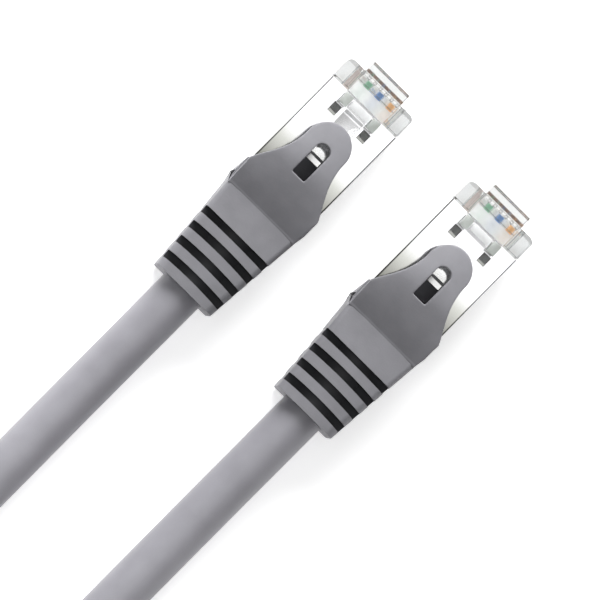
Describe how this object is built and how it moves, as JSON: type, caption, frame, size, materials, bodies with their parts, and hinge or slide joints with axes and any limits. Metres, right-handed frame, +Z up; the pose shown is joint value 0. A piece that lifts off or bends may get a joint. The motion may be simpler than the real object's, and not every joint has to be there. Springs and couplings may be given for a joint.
{
  "type": "shielded ethernet patch cable",
  "caption": "Round grey data cord with a clear, metal-shielded 8-position plug on each end, ribbed boots with a tongue over each latch, and the spare length tied in a flat hank.",
  "frame": {"origin": "middle of the two plugs and boots, on the surface they lie on", "axes": "+Y towards the noses of the plugs, +Z up with the latches on top, +X to the right seen from above"},
  "size_m": [0.0624, 0.1844, 0.0141],
  "materials": {
    "clear_plastic": "clear polished polycarbonate",
    "shield_metal": "bright nickel-plated sheet",
    "bar_plastic": "satin moulded",
    "gold_contact": "gold plated",
    "braid_wire": "tinned copper braid",
    "boot_pvc": "soft satin moulded",
    "cord_jacket": "satin extruded",
    "tie_strap": "woven strap",
    "wire_white_orange": "glossy insulation",
    "wire_orange": "glossy insulation",
    "wire_white_green": "glossy insulation",
    "wire_blue": "glossy insulation",
    "wire_white_blue": "glossy insulation",
    "wire_green": "glossy insulation",
    "wire_white_brown": "glossy insulation",
    "wire_brown": "glossy insulation"
  },
  "bodies": {
    "cable": {"housing_a": "clear_plastic", "shield_a": "shield_metal", "load_bar_a": "bar_plastic", "contact_a_1": "gold_contact", "contact_a_2": "gold_contact", "contact_a_3": "gold_contact", "contact_a_4": "gold_contact", "contact_a_5": "gold_contact", "contact_a_6": "gold_contact", "contact_a_7": "gold_contact", "contact_a_8": "gold_contact", "conductor_a_1": "wire_white_orange", "conductor_a_2": "wire_orange", "conductor_a_3": "wire_white_green", "conductor_a_4": "wire_blue", "conductor_a_5": "wire_white_blue", "conductor_a_6": "wire_green", "conductor_a_7": "wire_white_brown", "conductor_a_8": "wire_brown", "braid_a": "braid_wire", "boot_a": "boot_pvc", "housing_b": "clear_plastic", "shield_b": "shield_metal", "load_bar_b": "bar_plastic", "contact_b_1": "gold_contact", "contact_b_2": "gold_contact", "contact_b_3": "gold_contact", "contact_b_4": "gold_contact", "contact_b_5": "gold_contact", "contact_b_6": "gold_contact", "contact_b_7": "gold_contact", "contact_b_8": "gold_contact", "conductor_b_1": "wire_white_orange", "conductor_b_2": "wire_orange", "conductor_b_3": "wire_white_green", "conductor_b_4": "wire_blue", "conductor_b_5": "wire_white_blue", "conductor_b_6": "wire_green", "conductor_b_7": "wire_white_brown", "conductor_b_8": "wire_brown", "braid_b": "braid_wire", "boot_b": "boot_pvc", "lead_a": "cord_jacket", "lead_b": "cord_jacket", "hank": "cord_jacket", "tie_left": "tie_strap", "tie_right": "tie_strap"},
    "latch_a": {"latch_a": "clear_plastic"},
    "tongue_a": {"tongue_a": "boot_pvc"},
    "latch_b": {"latch_b": "clear_plastic"},
    "tongue_b": {"tongue_b": "boot_pvc"}
  },
  "joints": [
    {"name": "tongue_press_a", "type": "hinge", "parent": "cable", "child": "tongue_a", "pos_m": [-0.01125, -0.00481, 0.0099], "axis": [-1, 0, 0], "range_deg": [0, 3.7], "stiffness_Nm_per_rad": 1.6},
    {"name": "latch_press_a", "type": "hinge", "parent": "cable", "child": "latch_a", "pos_m": [-0.01125, 0.0163, 0.0092], "axis": [1, 0, 0], "range_deg": [0, 9.44], "stiffness_Nm_per_rad": 0.00001, "springref_deg": -26.93},
    {"name": "tongue_press_b", "type": "hinge", "parent": "cable", "child": "tongue_b", "pos_m": [0.01125, -0.00507, 0.0099], "axis": [-1, 0, 0], "range_deg": [0, 3.7], "stiffness_Nm_per_rad": 1.6},
    {"name": "latch_press_b", "type": "hinge", "parent": "cable", "child": "latch_b", "pos_m": [0.01125, 0.01604, 0.0092], "axis": [1, 0, 0], "range_deg": [0, 9.44], "stiffness_Nm_per_rad": 0.00001, "springref_deg": -26.93}
  ],
  "couplings": [
    {"joint": "latch_press_a", "follows": "tongue_press_a", "ratio": 2.55},
    {"joint": "latch_press_b", "follows": "tongue_press_b", "ratio": 2.55}
  ]
}
